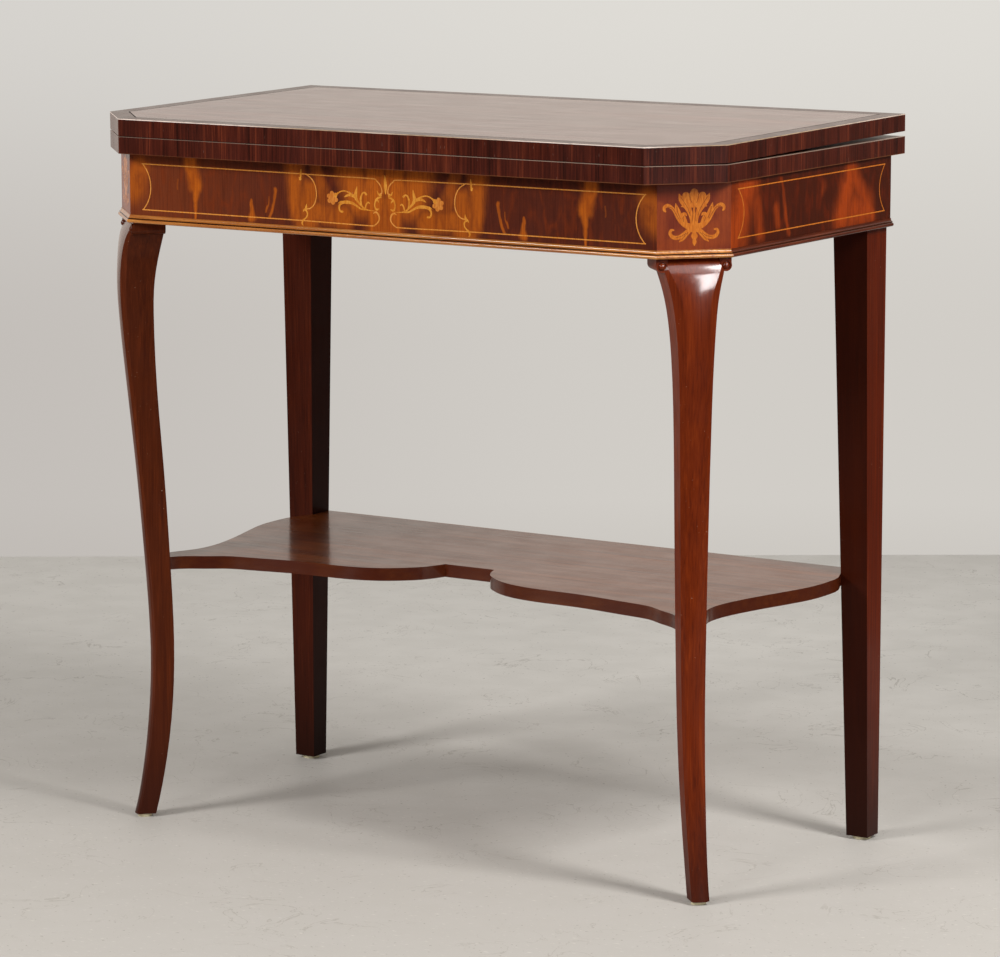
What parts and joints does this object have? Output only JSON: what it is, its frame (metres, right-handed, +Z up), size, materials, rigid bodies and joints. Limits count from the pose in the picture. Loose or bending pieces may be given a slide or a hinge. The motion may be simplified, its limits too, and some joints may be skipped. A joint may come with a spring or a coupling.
{
  "type": "pier table with fold-over swivel top",
  "caption": "Narrow wall table with canted front corners, bead-moulded apron, cabriole front legs, tapered rear legs, shaped low shelf and a fold-over swivel top",
  "frame": {"origin": "on the floor, under the middle of the closed top", "axes": "+X to the right along the long side as seen from the front, +Y to the rear edge that stands against a wall, +Z up"},
  "size_m": [0.7522, 0.4362, 0.7666],
  "materials": {
    "leg_wood": "polished mahogany, semi-gloss",
    "shelf_wood": "polished mahogany, gloss",
    "leaf_core": "plain sawn board under veneer",
    "leaf_edge_veneer": "dark crossbanded veneer, polished",
    "top_veneer": "figured mahogany veneer, polished",
    "top_line_wood": "dark stringing",
    "frame_wood": "secondary wood, plain",
    "apron_veneer": "figured mahogany veneer, polished",
    "moulding_wood": "bead moulding, polished",
    "lining": "wool baize, matt",
    "hinge_brass": "aged brass",
    "steel": "dull steel",
    "glide_plastic": "cream glide"
  },
  "bodies": {
    "frame": {"right_front_leg": "leg_wood", "left_front_leg": "leg_wood", "right_rear_leg": "leg_wood", "left_rear_leg": "leg_wood", "front_rail": "frame_wood", "back_rail": "frame_wood", "right_side_rail": "frame_wood", "left_side_rail": "frame_wood", "pivot_rail": "frame_wood", "pivot_bush": "hinge_brass", "well_board": "frame_wood", "well_bearers": "frame_wood", "front_veneer": "apron_veneer", "left_cant_veneer": "apron_veneer", "right_cant_veneer": "apron_veneer", "left_side_veneer": "apron_veneer", "right_side_veneer": "apron_veneer", "front_moulding": "moulding_wood", "left_cant_moulding": "moulding_wood", "right_cant_moulding": "moulding_wood", "left_side_moulding": "moulding_wood", "right_side_moulding": "moulding_wood", "shelf": "shelf_wood", "shelf_dowels": "frame_wood", "right_front_glide": "glide_plastic", "left_front_glide": "glide_plastic", "right_rear_glide": "glide_plastic", "left_rear_glide": "glide_plastic", "glide_nails": "steel"},
    "lower_leaf": {"lower_leaf_board": "leaf_core", "lower_leaf_edging": "leaf_edge_veneer", "lower_lining": "lining", "lower_hinge_flaps": "hinge_brass", "lower_hinge_screws": "steel", "hinge_pins": "steel", "pivot_plate": "steel", "pivot_plate_screws": "steel", "pivot_bolt": "steel", "pivot_washer": "steel", "pivot_nut": "steel", "swivel_stop": "frame_wood", "swivel_stop_screws": "steel"},
    "upper_leaf": {"upper_leaf_board": "leaf_core", "upper_leaf_edging": "leaf_edge_veneer", "top_border": "leaf_edge_veneer", "top_line": "top_line_wood", "top_field": "top_veneer", "upper_lining": "lining", "upper_hinge_flaps": "hinge_brass", "upper_hinge_screws": "steel"}
  },
  "joints": [
    {"name": "top_swivel", "type": "hinge", "parent": "frame", "child": "lower_leaf", "pos_m": [0.1089, 0.10685, 0.714], "axis": [0, 0, 1], "range_deg": [0, 90]},
    {"name": "leaf_fold", "type": "hinge", "parent": "lower_leaf", "child": "upper_leaf", "pos_m": [0, 0.21575, 0.746], "axis": [-1, 0, 0], "range_deg": [0, 180.61]}
  ]
}
